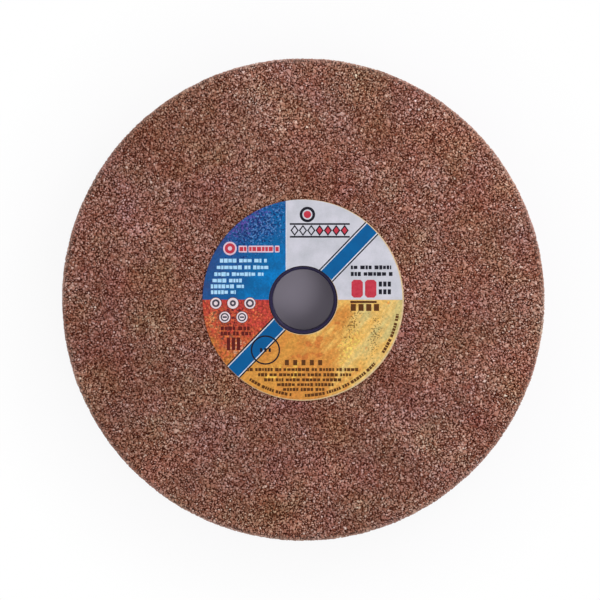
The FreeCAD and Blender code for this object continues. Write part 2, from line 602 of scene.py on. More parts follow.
def waves(at: np.ndarray, seed: int, lengths: Pair, count: int = 14) -> np.ndarray:
    """Smooth uneven values: the sum of plane waves of random direction, length and phase.

    Args:
        at: (n, d) places.
        seed: picks the waves.
        lengths: the shortest and the longest wavelength, in the places' unit.
        count: number of waves.

    Returns:
        (n,) values, 0 on average with a spread of about 1.
    """
    rng = np.random.default_rng(seed)
    ways = rng.normal(size=(count, at.shape[1]))
    ways /= np.linalg.norm(ways, axis=1, keepdims=True)
    drawn = rng.uniform(*lengths, count)
    turns = at @ (ways * (2 * np.pi / drawn)[:, None]).T + rng.uniform(0, 2 * np.pi, count)
    return np.sin(turns).sum(axis=1) * math.sqrt(2 / count)


# The fired wheel


@dataclass(frozen=True)
class WheelOutline:
    """Half section of the wheel, followed by a distance s from the front mouth of its hole.

    It runs outwards over the front, round one edge, down the rim, round the other edge and
    inwards over the back. The surface turns only in the two rounded edges, by a quarter each.
    """

    hole: float
    rim: float
    thickness: float
    edge: float  # radius of the two rounded edges
    crumbled: float = 0.16 * MM  # how deep they have crumbled on average
    crumb_lengths: Pair = (3 * MM, 40 * MM)  # the shortest and the longest wave of that depth
    crumb_waves: int = 20
    crumb_seed: int = 71
    worn_reach: float = 1.3 * MM  # how far from an edge's middle wear and the painted shading reach
    edge_shading_share: float = 0.27  # how much of the colour the painted shading hides in the middle

    @property
    def marks(self) -> np.ndarray:
        """Where the stretches of the outline meet.

        Returns:
            The distances s at the start of the front, the edge, the rim, the other edge and the
            back, and at the back's end.
        """
        side = self.rim - self.edge - self.hole
        curve = math.pi / 2 * self.edge
        wall = self.thickness - 2 * self.edge
        return np.cumsum([0.0, side, curve, wall, curve, side])

    def at(self, s: np.ndarray) -> tuple[np.ndarray, np.ndarray, np.ndarray]:
        """Follows the outline.

        Args:
            s: distances along it.

        Returns:
            The radius and the height there, and the angle that the outward normal has turned
            from straight up towards the rim.
        """
        _, front, curve, wall, turned, back = self.marks
        bend = np.clip(s - front, 0, curve - front) + np.clip(s - wall, 0, turned - wall)
        angle = bend / self.edge
        inwards = np.clip(s - turned, 0, back - turned)
        radius = self.hole + np.clip(s, 0, front) - inwards + self.edge * np.sin(angle)
        down = np.clip(s - curve, 0, wall - curve)
        height = self.thickness - self.edge - down + self.edge * np.cos(angle)
        return radius, height, angle

    def edge_share(self, s: np.ndarray) -> np.ndarray:
        """How near places lie to a rounded edge: a bell curve of the distance to its middle.

        Args:
            s: distances along the outline.

        Returns:
            The shares, 1 in the middle of an edge and falling off to 0 on both sides.
        """
        _, front, curve, wall, turned, _ = self.marks
        away = np.minimum(np.abs(s - (front + curve) / 2), np.abs(s - (wall + turned) / 2))
        return np.exp(-((away / self.worn_reach) ** 2))

    def edge_shading(self, s: np.ndarray) -> np.ndarray:
        """How much of the grit's colour the painted edge shading hides at distances along the outline."""
        return self.edge_shading_share * self.edge_share(s)

    def crumble(self, s: np.ndarray, turn: np.ndarray) -> np.ndarray:
        """How much of the two rounded edges has crumbled away.

        The loss is smooth waves around the rim, none below zero, times the share of the edge.

        Args:
            s: distances along the outline.
            turn: angles around the bore, in an array that s fits.

        Returns:
            The depths.
        """
        around = np.broadcast_to(turn, np.broadcast_shapes(s.shape, turn.shape))
        place = self.rim * np.stack([np.cos(around), np.sin(around)], axis=-1).reshape(-1, 2)
        uneven = waves(place, self.crumb_seed, self.crumb_lengths, self.crumb_waves)
        loss = 1 + uneven.reshape(around.shape)
        return self.crumbled * np.maximum(loss, 0) * self.edge_share(s)


@dataclass
class AbrasiveBody:
    """The fired disc below the grit: a closed turned surface, sunk a little and uneven."""

    outline: WheelOutline
    label_radius: float
    sunk: float = 0.42 * MM  # below the wheel's surface, where it carries grit
    seat_sunk: float = 0.02 * MM  # the same under the label and in the hole
    seat_margin: float = 1.5 * MM  # how far the seat stays back from the label's rim
    mouth: float = 0.05 * MM  # how far the hole's own surface reaches past its radius
    uneven: float = 0.07 * MM  # the spread of its unevenness
    uneven_limit: float = 2.0  # the largest, in spreads
    step: float = 2.2 * MM  # from ring to ring
    around: int = 360  # points on a ring
    seed: int = 11
    map_disc: float = 0.24  # radius of either side on the map
    map_front: Pair = (0.25, 0.75)  # the front's centre there
    map_back: Pair = (0.75, 0.75)  # the back's
    map_strips: int = 5  # how many the rim is cut into
    map_strip: float = 0.08  # the height of one
    map_margin: float = 0.05  # the share of it left free along both its sides
    map_hole: Pair = (0.42, 0.05)  # where the hole's strip lies, and its height

    def sink(self, radius: np.ndarray, height: np.ndarray) -> np.ndarray:
        """How far the body lies below the wheel's true surface.

        Args:
            radius: of places on the outline.
            height: of the same places.

        Returns:
            The depths: next to nothing under the label and at the hole, for both have no grit.
        """
        seat = (height > self.outline.thickness / 2) & (radius < self.label_radius - self.seat_margin)
        mouth = radius < self.outline.hole + self.mouth
        return np.where(seat | mouth, self.seat_sunk, self.sunk)

    def build(self, finish: BondFinish) -> bpy.types.Object:
        """Turns the sunk outline about the bore and closes it through the hole.

        A ring's point lies at the outline's place, less depth times the normal, where depth is
        the ring's own, what has crumbled and, where there is grit, the size of a random number.

        Args:
            finish: the bond's finish.

        Returns:
            The piece.
        """
        end = self.outline.marks[-1]
        s = np.linspace(0, end, int(end / self.step) + 1)
        radius, height, angle = self.outline.at(s)
        sunk = self.sink(radius, height)[:, None]
        turn = np.arange(self.around) * (2 * np.pi / self.around)
        rng = np.random.default_rng(self.seed)
        spreads = np.minimum(np.abs(rng.normal(size=(len(s), self.around))), self.uneven_limit)
        rough = np.where(sunk > self.seat_sunk, spreads * self.uneven, 0)
        depth = sunk + rough + self.outline.crumble(s[:, None], turn)
        out = radius[:, None] - depth * np.sin(angle)[:, None]
        up = height[:, None] - depth * np.cos(angle)[:, None]
        points = np.stack([out * np.cos(turn), out * np.sin(turn), up], axis=-1)
        ring = np.arange(len(s))[:, None] * self.around
        next_ring = np.roll(ring, -1)
        column = np.arange(self.around)
        next_column = np.roll(column, -1)
        corners = [ring + column, next_ring + column, next_ring + next_column, ring + next_column]
        quads = np.stack(corners, axis=-1).reshape(-1, 4)
        piece = make_piece("abrasive_body", points.reshape(-1, 3), quads, [finish.build()], smooth=True)
        # the share of painted edge shading, read by the bond's material
        give_values(piece, "edge_shading", np.repeat(self.outline.edge_shading(s), self.around))
        give_map(piece, self.unroll(s, quads))
        return piece

    def unroll(self, s: np.ndarray, quads: np.ndarray) -> np.ndarray:
        """Lays the surface out flat: two discs for the sides, and strips for the rim and the hole.

        Args:
            s: the rings' distances along the outline.
            quads: the faces, the first corner of each on the ring and column that it starts from.

        Returns:
            (corners, 2) each face corner's place on the map.
        """
        _, _, curve, wall, _, _ = self.outline.marks
        radius, height, _ = self.outline.at(s)
        ring, column = np.divmod(quads, self.around)
        turn = 2 * np.pi * column / self.around
        spread = self.map_disc * (radius / self.outline.rim)[ring]
        disc = np.stack([spread * np.cos(turn), spread * np.sin(turn)], axis=-1)
        along = column[:, :1] + np.array([0, 0, 1, 1])
        share = height[ring] / self.outline.thickness
        row = column[:, :1] * self.map_strips // self.around
        filled = row + self.map_margin + (1 - 2 * self.map_margin) * share
        strip = np.stack([along * self.map_strips / self.around - row, filled * self.map_strip], axis=-1)
        low, high = self.map_hole
        hole = np.stack([along / self.around, low + high * share], axis=-1)
        start = s[ring[:, 0]]
        kinds = [start < curve, start < wall, ring[:, 0] < len(s) - 1]
        kinds = [kind[:, None, None] for kind in kinds]
        return np.select(kinds, [disc + self.map_front, strip, disc + self.map_back], hole).reshape(-1, 2)


OCTAHEDRON = np.array([(1, 0, 0), (-1, 0, 0), (0, 1, 0), (0, -1, 0), (0, 0, 1), (0, 0, -1)], float)
OCTAHEDRON_FACES = np.array(
    [(0, 2, 4), (2, 1, 4), (1, 3, 4), (3, 0, 4), (2, 0, 5), (1, 2, 5), (3, 1, 5), (0, 3, 5)]
)


@dataclass(frozen=True)
class Grain:
    """A crushed grain: an octahedron with shifted corners, stretched, turned at random and sunk.

    Lengths are shares of the distance between grains, apart from the clearance.
    """

    size: float = 0.56  # half the usual length
    size_spread: float = 0.26  # how far sizes spread, as a share
    corner_reach: Pair = (0.75, 1.2)  # how near and how far from the middle a corner may lie
    corner_shift: float = 0.2  # how far off its axis it may lie
    stretch: Pair = (0.6, 1.25)  # how short and how long the grain may be along each axis
    sunk: float = 0.36  # how far its middle lies below the surface, at least
    sunk_spread: float = 0.13
    clearance: float = 0.004 * MM  # what stays free below the wheel's true surface

    def turns(self, rng: np.random.Generator, count: int) -> np.ndarray:
        """Random turns in space, from unit quaternions.

        Args:
            rng: the layer's random numbers.
            count: how many.

        Returns:
            (count, 3, 3) turning matrices.
        """
        quaternions = rng.normal(size=(count, 4))
        w, x, y, z = (quaternions / np.linalg.norm(quaternions, axis=1, keepdims=True)).T
        rows = [
            [1 - 2 * (y * y + z * z), 2 * (x * y - z * w), 2 * (x * z + y * w)],
            [2 * (x * y + z * w), 1 - 2 * (x * x + z * z), 2 * (y * z - x * w)],
            [2 * (x * z - y * w), 2 * (y * z + x * w), 1 - 2 * (x * x + y * y)],
        ]
        return np.array(rows).transpose(2, 0, 1)

    def shapes(self, rng: np.random.Generator, count: int, pitch: float) -> np.ndarray:
        """Breaks and turns octahedra, sinks them and cuts them off flat at the wheel's surface.

        Args:
            rng: the layer's random numbers.
            count: how many.
            pitch: the distance between grains.

        Returns:
            (count, 6, 3) corners from the grain's foot, the last number along the normal.
        """
        size = self.size * pitch * np.exp(self.size_spread * rng.normal(size=(count, 1, 1)))
        corners = OCTAHEDRON * rng.uniform(*self.corner_reach, (count, 6, 1))
        corners += rng.uniform(-self.corner_shift, self.corner_shift, (count, 6, 3))
        corners = corners * rng.uniform(*self.stretch, (count, 1, 3)) * size
        corners = np.einsum("nij,nkj->nki", self.turns(rng, count), corners)
        deep = pitch * (self.sunk + self.sunk_spread * np.abs(rng.normal(size=(count, 1))))
        corners[..., 2] = np.minimum(corners[..., 2] - deep, -self.clearance)
        return corners


class Side(Enum):
    """The stretches of the wheel's surface that carry grit."""

    FRONT = "front"
    RIM = "rim"
    BACK = "back"


@dataclass
class GritLayer:
    """Angular grains on one stretch of the wheel, in rings of evenly spaced and shifted places."""

    outline: WheelOutline
    side: Side
    name: str
    start: float  # on the outline
    end: float
    pitch: float = 1.02 * MM  # from grain to grain along a ring
    seed: int = 1
    row_share: float = 0.866  # from ring to ring, in pitches
    first_share: float = 0.43  # from the start to the first ring, in pitches
    shift: float = 0.42  # how far a grain is moved along and across its ring, in pitches
    grain: Grain = Grain()
    tone_spread: float = 0.145  # from grain to grain
    tone_waves: float = 0.043  # how far soft waves over the wheel move the tones
    wave_lengths: Pair = (16 * MM, 90 * MM)  # the shortest and the longest of them
    wave_seed: int = 5  # alike for every layer, so that the waves run on
    hole_margin: float = 0.03 * MM  # how far grains stay off the hole
    map_margin: float = 0.002  # left free round a side's map
    map_strips: int = 6  # how many the rim is cut into
    strip_margins: Pair = (0.01, 0.04)  # shares left free at a strip's ends and along its sides

    def centres(self, rng: np.random.Generator) -> tuple[np.ndarray, np.ndarray]:
        """Scatters grains on rings a row apart, evenly around each, then shifts every one a little.

        Args:
            rng: the layer's random numbers.

        Returns:
            Each grain's distance along the outline and its angle around the bore.
        """
        rows = np.arange(self.start + self.pitch * self.first_share, self.end, self.pitch * self.row_share)
        around = (2 * np.pi * self.outline.at(rows)[0] / self.pitch).astype(int)
        row = np.repeat(np.arange(len(rows)), around)
        place = np.arange(len(row)) - np.repeat(np.cumsum(around) - around, around)
        offset = rng.uniform(size=len(rows))
        shift = self.shift * rng.uniform(-1, 1, (2, len(row)))
        turn = 2 * np.pi * (place + offset[row] + shift[0]) / around[row]
        return rows[row] + shift[1] * self.pitch, turn % (2 * np.pi)

    def build(self, material: bpy.types.Material) -> bpy.types.Object:
        """Sets the grains on the outline and gives each its own tone and its share of painted edge shading.

        A corner lies at the grain's foot plus its three numbers times the directions around the
        wheel, along the outline and out of the surface.

        Args:
            material: the grains' material.

        Returns:
            The piece.
        """
        rng = np.random.default_rng(self.seed)
        s, turn = self.centres(rng)
        count = len(s)
        radius, height, angle = self.outline.at(s)
        outward = np.stack([np.sin(angle) * np.cos(turn), np.sin(angle) * np.sin(turn), np.cos(angle)], -1)
        sideways = np.stack([-np.sin(turn), np.cos(turn), 0 * turn], -1)
        axes = np.stack([sideways, np.cross(outward, sideways), outward], axis=1)
        foot = np.stack([radius * np.cos(turn), radius * np.sin(turn), height], -1)
        foot -= self.outline.crumble(s, turn)[:, None] * outward
        shapes = self.grain.shapes(rng, count, self.pitch)
        points = self.within(foot[:, None] + np.einsum("nkj,njc->nkc", shapes, axes))
        corners = len(OCTAHEDRON)
        faces = (np.arange(count) * corners)[:, None, None] + OCTAHEDRON_FACES
        piece = make_piece(self.name, points.reshape(-1, 3), faces.reshape(-1, 3), [material])
        tone = 0.5 + self.tone_spread * rng.normal(size=count)
        tone += self.tone_waves * waves(foot, self.wave_seed, self.wave_lengths)
        give_values(piece, "tone", np.repeat(np.clip(tone, 0, 1), corners))
        # the share of painted edge shading, read by the grains' material
        give_values(piece, "edge_shading", np.repeat(self.outline.edge_shading(s), corners))
        give_map(piece, self.unroll(points, turn, faces))
        return piece

    def within(self, points: np.ndarray) -> np.ndarray:
        """Moves corners that stand outside the wheel's rim, sides or hole back onto them.

        Args:
            points: (n, 6, 3) corners.

        Returns:
            The corners, none of them outside.
        """
        reach = np.linalg.norm(points[..., :2], axis=-1)
        allowed = np.clip(reach, self.outline.hole + self.hole_margin, self.outline.rim)
        points[..., :2] *= (allowed / reach)[..., None]
        points[..., 2] = np.clip(points[..., 2], 0, self.outline.thickness)
        return points

    def unroll(self, points: np.ndarray, turn: np.ndarray, faces: np.ndarray) -> np.ndarray:
        """Maps a side as seen from above or below, and the rim as strips one above the other.

        Args:
            points: (grains, 6, 3) corners of the grains.
            turn: the grains' angles around the bore.
            faces: the grains' faces.

        Returns:
            (corners, 2) each face corner's place on the map.
        """
        corner = faces.reshape(-1)
        if self.side is not Side.RIM:
            half = 0.5 - self.map_margin
            reach = np.abs(points[..., :2]).max()
            return (0.5 + half * points[..., :2] / reach).reshape(-1, 2)[corner]
        strips = self.map_strips
        strip = np.minimum((turn / (2 * np.pi) * strips).astype(int), strips - 1)[:, None]
        around = np.arctan2(points[..., 1], points[..., 0])
        around += 2 * np.pi * np.round((turn[:, None] - around) / (2 * np.pi))
        ends, sides = self.strip_margins
        along = ends + (1 - 2 * ends) * (around / (2 * np.pi) * strips - strip)
        share = (strip + sides + (1 - 2 * sides) * points[..., 2] / self.outline.thickness) / strips
        return np.clip(np.stack([along, share], axis=-1), 0, 1).reshape(-1, 2)[corner]


# The printed label


def circle(x: float, y: float, radius: float, count: int) -> np.ndarray:
    """The (count, 2) points of a closed loop round the place x, y, counter-clockwise."""
    turn = np.arange(count) * (2 * np.pi / count)
    return np.stack([x + radius * np.cos(turn), y + radius * np.sin(turn)], axis=-1)


@dataclass(frozen=True)
class Mark:
    """One printed shape on the label: closed loops of points in millimetres, and its ink."""

    ink: Ink
    loops: tuple[np.ndarray, ...]

    @classmethod
    def disc(cls, ink: Ink, x: float, y: float, radius: float, count: int = 36) -> "Mark":
        """A filled circle round the place x, y, with count sides."""
        return cls(ink, (circle(x, y, radius, count),))

    @classmethod
    def ring(cls, ink: Ink, x: float, y: float, radius: float, width: float, count: int = 64) -> "Mark":
        """A round line about the place x, y, given by the radius of its middle, its width and its sides."""
        return cls(ink, tuple(circle(x, y, radius + side * width / 2, count) for side in (1, -1)))

    @classmethod
    def bar(cls, ink: Ink, x: float, y: float, width: float, height: float, cut: float = 0.0) -> "Mark":
        """An upright rectangle.

        Args:
            ink: its ink.
            x: the centre's place along X.
            y: the centre's place along Y.
            width: along X.
            height: along Y.
            cut: how much of each corner is cut off.

        Returns:
            The mark.
        """
        w, h = width / 2, height / 2
        corners = [(-w, -h), (w, -h), (w, h), (-w, h)]
        if cut:
            a, b = w - cut, h - cut
            corners = [(-a, -h), (a, -h), (w, -b), (w, b), (a, h), (-a, h), (-w, b), (-w, -b)]
        return cls(ink, (np.array(corners) + (x, y),))

    @classmethod
    def lozenge(cls, ink: Ink, x: float, y: float, half_width: float, half_height: float) -> "Mark":
        """A square stood on its corner at the place x, y and stretched upwards."""
        return cls(ink, (circle(0, 0, 1, 4) * (half_width, half_height) + (x, y),))

    @classmethod
    def bent_bar(cls, ink: Ink, radius: float, start: float, length: float, height: float) -> "Mark":
        """A bar bent round the label's centre.

        Args:
            ink: its ink.
            radius: of the bar's middle.
            start: the angle in degrees that it starts at.
            length: along its middle.
            height: from its inner to its outer side.

        Returns:
            The mark.
        """
        turn = math.radians(start) + np.array([0, length / 2, length]) / radius
        along = np.stack([np.cos(turn), np.sin(turn)], axis=-1)
        outer, inner = along * (radius + height / 2), along * (radius - height / 2)
        return cls(ink, (np.concatenate([outer, inner[::-1]]),))

    @classmethod
    def band(cls, ink: Ink, angle: float, low: float, high: float, reach: float) -> "Mark":
        """A straight band between two distances from a line through the label's centre.

        Args:
            ink: its ink.
            angle: the line's direction in degrees.
            low: distance of one edge, to the left of the line if positive.
            high: distance of the other one.
            reach: half the band's length.

        Returns:
            The mark.
        """
        along = np.array([math.cos(math.radians(angle)), math.sin(math.radians(angle))])
        across = np.array([-along[1], along[0]])
        ends = [(-reach, low), (reach, low), (reach, high), (-reach, high)]
        return cls(ink, (np.array([a * along + b * across for a, b in ends]),))

    @classmethod
    def field(cls, ink: Ink, *corners: Pair) -> "Mark":
        """A field of colour with straight sides from corner to corner."""
        return cls(ink, (np.array(corners, float),))

    def covers(self, at: np.ndarray) -> np.ndarray:
        """Whether each place lies in the mark.

        A place is inside where a line from there crosses the loops an odd number of times.

        Args:
            at: (n, 2) places.

        Returns:
            (n,) truth values.
        """
        inside = np.zeros(len(at), bool)
        for loop in self.loops:
            near = ((at >= loop.min(0)) & (at <= loop.max(0))).all(1)
            x, y = at[near, 0][:, None], at[near, 1][:, None]
            (x1, y1), (x2, y2) = loop.T, np.roll(loop, -1, axis=0).T
            level = (y1 > y) != (y2 > y)
            rise = np.where(y2 == y1, 1, y2 - y1)
            crossed = level & (x < x1 + (y - y1) * (x2 - x1) / rise)
            inside[near] ^= crossed.sum(axis=1) % 2 == 1
        return inside


class Motif(ABC):
    """Something printed on one of the label's fields. Its places are millimetres from the bore."""

    @abstractmethod
    def marks(self, rng: np.random.Generator) -> list[Mark]:
        """The motif's marks from the bottom up, with the print's random numbers where it needs any."""


@dataclass(frozen=True)
class Discs(Motif):
    """Filled circles on one centre."""

    x: float
    y: float
    rounds: tuple[tuple[Ink, float], ...]  # the inks and radii
    sides: int = 36

    def marks(self, rng: np.random.Generator) -> list[Mark]:
        """The discs in the order of their rounds."""
        return [Mark.disc(ink, self.x, self.y, radius, self.sides) for ink, radius in self.rounds]


@dataclass(frozen=True)
class Ring(Motif):
    """A round line."""

    ink: Ink
    x: float
    y: float
    radius: float  # of the line's middle
    width: float

    def marks(self, rng: np.random.Generator) -> list[Mark]:
        """The ring alone."""
        return [Mark.ring(self.ink, self.x, self.y, self.radius, self.width)]


@dataclass(frozen=True)
class Bars(Motif):
    """Equal upright bars side by side."""

    ink: Ink
    count: int
    x: float  # of the first one's middle
    y: float
    step: float
    width: float
    height: float
    cut: float = 0.0  # how much of each corner is cut off

    def marks(self, rng: np.random.Generator) -> list[Mark]:
        """The bars from left to right."""
        places = (self.x + self.step * number for number in range(self.count))
        return [Mark.bar(self.ink, x, self.y, self.width, self.height, self.cut) for x in places]


@dataclass(frozen=True)
class Lozenges(Motif):
    """Dark lozenges side by side, each with a smaller one inside."""

    x: float  # of the first one
    y: float
    insides: tuple[Ink, ...]
    step: float = 4.3
    halves: Pair = (2.15, 1.35)  # half widths of a lozenge and of its inside
    rise: float = 1.35  # how much higher than wide they are

    def marks(self, rng: np.random.Generator) -> list[Mark]:
        """The lozenges from left to right, each under its inside.

        Args:
            rng: the print's random numbers, none of which it draws.

        Returns:
            The marks.
        """
        made = []
        for number, inside in enumerate(self.insides):
            for ink, half in zip((Ink.KEY, inside), self.halves):
                x = self.x + self.step * number
                made += [Mark.lozenge(ink, x, self.y, half, self.rise * half)]
        return made


@dataclass(frozen=True)
class Badge(Motif):
    """A pale disc with a thin dark rim and a ring on it, some with a bar inside the ring."""

    x: float
    y: float
    ring: float  # the radius of its middle
    ring_width: float = 1.0
    bar: Pair | None = None  # its width and height
    radii: Pair = (3.15, 2.85)  # of the dark disc and of the pale one

    def marks(self, rng: np.random.Generator) -> list[Mark]:
        """The badge's parts from the bottom up.

        Args:
            rng: the print's random numbers, none of which it draws.

        Returns:
            The marks.
        """
        made = [Mark.disc(ink, self.x, self.y, r) for ink, r in zip((Ink.MAROON, Ink.DISC), self.radii)]
        made += [Mark.ring(Ink.GREY, self.x, self.y, self.ring, self.ring_width)]
        if self.bar:
            made += [Mark.bar(Ink.GREY, self.x, self.y, *self.bar)]
        return made


@dataclass(frozen=True)
class Words:
    """How a row is split into words of narrow blocks. Lengths are shares of the row's height."""

    widths: Pair = (0.5, 1.1)  # of the narrowest and the widest block
    gap: float = 0.17  # from block to block
    space: float = 0.5  # added to it between words
    smallest: float = 0.2  # block at a row's end
    rest: float = 0.4  # of a row, at least, for another word
    counts: tuple[int, int] = (2, 8)  # fewest blocks of a word, and one more than the most

    def blocks(self, rng: np.random.Generator, length: float, height: float) -> list[Pair]:
        """Fills a row with words, until hardly anything of it is left.

        Args:
            rng: the print's random numbers.
            length: of the row.
            height: of the row.

        Returns:
            Each block's start along the row and its width.
        """
        found, at = [], 0.0
        while at < length - self.rest * height:
            for _ in range(rng.integers(*self.counts)):
                width = min(rng.uniform(*self.widths) * height, length - at)
                if width > self.smallest * height:
                    found.append((at, width))
                at += width + self.gap * height
            at += self.space * height
        return found


@dataclass(frozen=True)
class Row(Motif):
    """A straight row of uneven blocks, or of equally tall ones that lie on outlines."""

    ink: Ink
    left: float
    right: float
    y: float
    height: float
    outline: Ink | None = None
    grown: tuple[float, float, float] = (0.8, 1.3, 0.3)  # an outline's extra width, height, and its cut
    lowest: float = 0.75  # the lowest block, as a share of the height
    words: Words = Words()

    def marks(self, rng: np.random.Generator) -> list[Mark]:
        """The blocks from left to right.

        Args:
            rng: the print's random numbers.

        Returns:
            The marks.
        """
        made = []
        wider, higher, cut = self.grown
        for at, width in self.words.blocks(rng, self.right - self.left, self.height):
            x = self.left + at + width / 2
            if self.outline:
                made += [Mark.bar(self.outline, x, self.y, width + wider, self.height + higher, cut)]
            share = 1 if self.outline else rng.uniform(self.lowest, 1)
            made += [Mark.bar(self.ink, x, self.y, width, self.height * share)]
        return made


@dataclass(frozen=True)
class BentRow(Motif):
    """A row of blocks along the label's rim."""

    ink: Ink
    start: float  # angle in degrees
    end: float
    radius: float = 49.3
    height: float = 1.6
    words: Words = Words()

    def marks(self, rng: np.random.Generator) -> list[Mark]:
        """The blocks from the row's start to its end.

        Args:
            rng: the print's random numbers.

        Returns:
            The marks.
        """
        per_mm = math.degrees(1 / self.radius)
        return [
            Mark.bent_bar(self.ink, self.radius, self.start + at * per_mm, width, self.height)
            for at, width in self.words.blocks(rng, (self.end - self.start) / per_mm, self.height)
        ]


MOTIFS: tuple[Motif, ...] = (
    # A red disc, an outlined red row and six pale rows on the blue field
    Discs(-37.8, 26.7, ((Ink.ROSE, 3.5), (Ink.SCARLET, 2.7), (Ink.ROSE, 1.1))),
    Row(Ink.SCARLET, -32.9, -12.2, 26.4, 2.2, Ink.ROSE),
    Row(Ink.PALE, -43.0, -18.2, 20.4, 2.1),
    Row(Ink.PALE, -44.6, -18.0, 16.9, 2.1),
    Row(Ink.PALE, -45.9, -20.5, 13.4, 2.1),
    Row(Ink.PALE, -46.8, -31.0, 10.1, 2.1),
    Row(Ink.PALE, -47.7, -30.6, 7.1, 2.1),
    Row(Ink.PALE, -47.6, -34.8, 4.1, 2.1),
    # A ring with a dot, lozenges between two rules, rows and small bars on the white field
    Ring(Ink.KEY, 2.2, 44.2, 3.3, 1.4),
    Discs(2.2, 44.2, ((Ink.SCARLET, 1.9),)),
    Bars(Ink.KEY, 1, 8.6, 39.3, 0.0, 31.0, 0.9),
    Bars(Ink.KEY, 1, 8.6, 32.7, 0.0, 31.0, 0.9),
    Lozenges(-4.4, 36.0, (Ink.WHITE,) * 3 + (Ink.SCARLET,) * 4),
    Row(Ink.KEY, 24.6, 45.5, 16.9, 2.2),
    Row(Ink.KEY, 24.6, 46.2, 13.5, 2.2),
    Bars(Ink.SCARLET, 2, 27.9, 5.9, 7.0, 5.9, 9.2, 1.2),
    Bars(Ink.KEY, 3, 39.9, 8.3, 2.3, 1.7, 2.6),
    Bars(Ink.KEY, 3, 39.9, 4.3, 2.3, 1.7, 2.6),
    # Five discs with plain round marks, two dark rows and three bars on the red field
    Badge(-45.1, -1.6, 1.5),
    Badge(-36.3, -1.6, 1.1),
    Badge(-27.5, -1.6, 1.6),
    Badge(-40.5, -8.8, 1.8, 0.7, (2.2, 0.9)),
    Badge(-31.6, -8.8, 1.8, 0.7, (2.2, 0.9)),
    Row(Ink.MAROON, -42.6, -27.0, -14.6, 2.1),
    Row(Ink.MAROON, -42.6, -27.0, -17.3, 2.1),
    Bars(Ink.MAROON, 3, -38.6, -22.6, 2.6, 1.8, 6.6),
    # A ring with bars over the stripe, and dark bars and rows on the gold field and along the rim
    Ring(Ink.KEY, -19.5, -25.8, 7.2, 0.8),
    Bars(Ink.KEY, 3, -21.7, -25.8, 2.2, 1.2, 2.0),
    Bars(Ink.BROWN, 1, 31.2, -0.95, 0.0, 13.6, 1.2),
    Bars(Ink.BROWN, 4, 25.9, -3.8, 4.0, 2.7, 3.6),
    Bars(Ink.BROWN, 5, -8.4, -32.3, 4.3, 2.1, 2.8),
    Row(Ink.BROWN, -29.0, 29.6, -35.9, 1.8),
    Row(Ink.BROWN, -23.3, 24.9, -38.6, 1.8),
    Row(Ink.BROWN, -20.2, 19.7, -41.2, 1.8),
    Row(Ink.BROWN, -13.5, 16.1, -43.7, 1.8),
    Row(Ink.BROWN, -10.4, 11.9, -46.2, 1.8),
    BentRow(Ink.BROWN, 236.0, 263.0),
    BentRow(Ink.BROWN, 271.0, 318.5),
    BentRow(Ink.BROWN, 326.6, 351.6),
    # The bare paper round the bore
    Discs(0.2, -0.25, ((Ink.PAPER, 17.8),), sides=160),
)


@dataclass(frozen=True)
class LabelPrint:
    """The label's print: four fields of colour, a slanting stripe, and the motifs over them."""

    reach: float = 60.0  # how far fields and stripe run past the label's rim
    upright: float = -9.0  # where along X the blue field meets the white one
    level: float = 0.2  # where along Y the upper fields meet the lower ones
    low_reach: float = -84.0  # how far down along the stripe the lower fields run
    stripe_angle: float = 46.0
    stripe_half: float = 3.5  # half its width
    stripe_shift: float = 0.25  # of its middle, to the left of the label's centre
    line_width: float = 0.55  # of the light lines
    key_width: float = 0.7  # of the dark lines
    motifs: tuple[Motif, ...] = MOTIFS
    seed: int = 23

    def fields(self) -> list[Mark]:
        """The white, blue, red and gold fields, and the pale line between white and blue.

        Returns:
            The marks.
        """
        r, x, y, below = self.reach, self.upright, self.level, self.low_reach
        c, s = math.cos(math.radians(self.stripe_angle)), math.sin(math.radians(self.stripe_angle))
        near, far = (y / s * c, y), (below * c, below * s)
        bare = x + self.line_width
        return [
            Mark.field(Ink.WHITE, (x, y), (r, y), (r, r), (x, r)),
            Mark.field(Ink.LINE, (x, y), (bare, y), (bare, r), (x, r)),
            Mark.field(Ink.BLUE, (-r, y), (x, y), (x, r), (-r, r)),
            Mark.field(Ink.RED, (-r, y), (-r, -r), far, near),
            Mark.field(Ink.GOLD, near, far, (far[0], below), (r, below), (r, y)),
        ]

    def stripe(self) -> list[Mark]:
        """The slanting stripe, with a light line and a thin dark line along both its edges.

        Returns:
            The marks.
        """
        inner = self.stripe_half
        middle = inner + self.line_width
        outer = middle + self.key_width
        bands = [(Ink.STRIPE, -inner, inner)]
        bands += [(Ink.LINE, side * inner, side * middle) for side in (1, -1)]
        bands += [(Ink.KEY, side * middle, side * outer) for side in (1, -1)]
        aside, turn, reach = self.stripe_shift, self.stripe_angle, self.reach
        return [Mark.band(ink, turn, low + aside, high + aside, reach) for ink, low, high in bands]

    def marks(self) -> list[Mark]:
        """Everything printed, from the bottom up.

        Returns:
            The marks.
        """
        rng = np.random.default_rng(self.seed)
        above = [mark for motif in self.motifs for mark in motif.marks(rng)]
        return self.fields() + self.stripe() + above


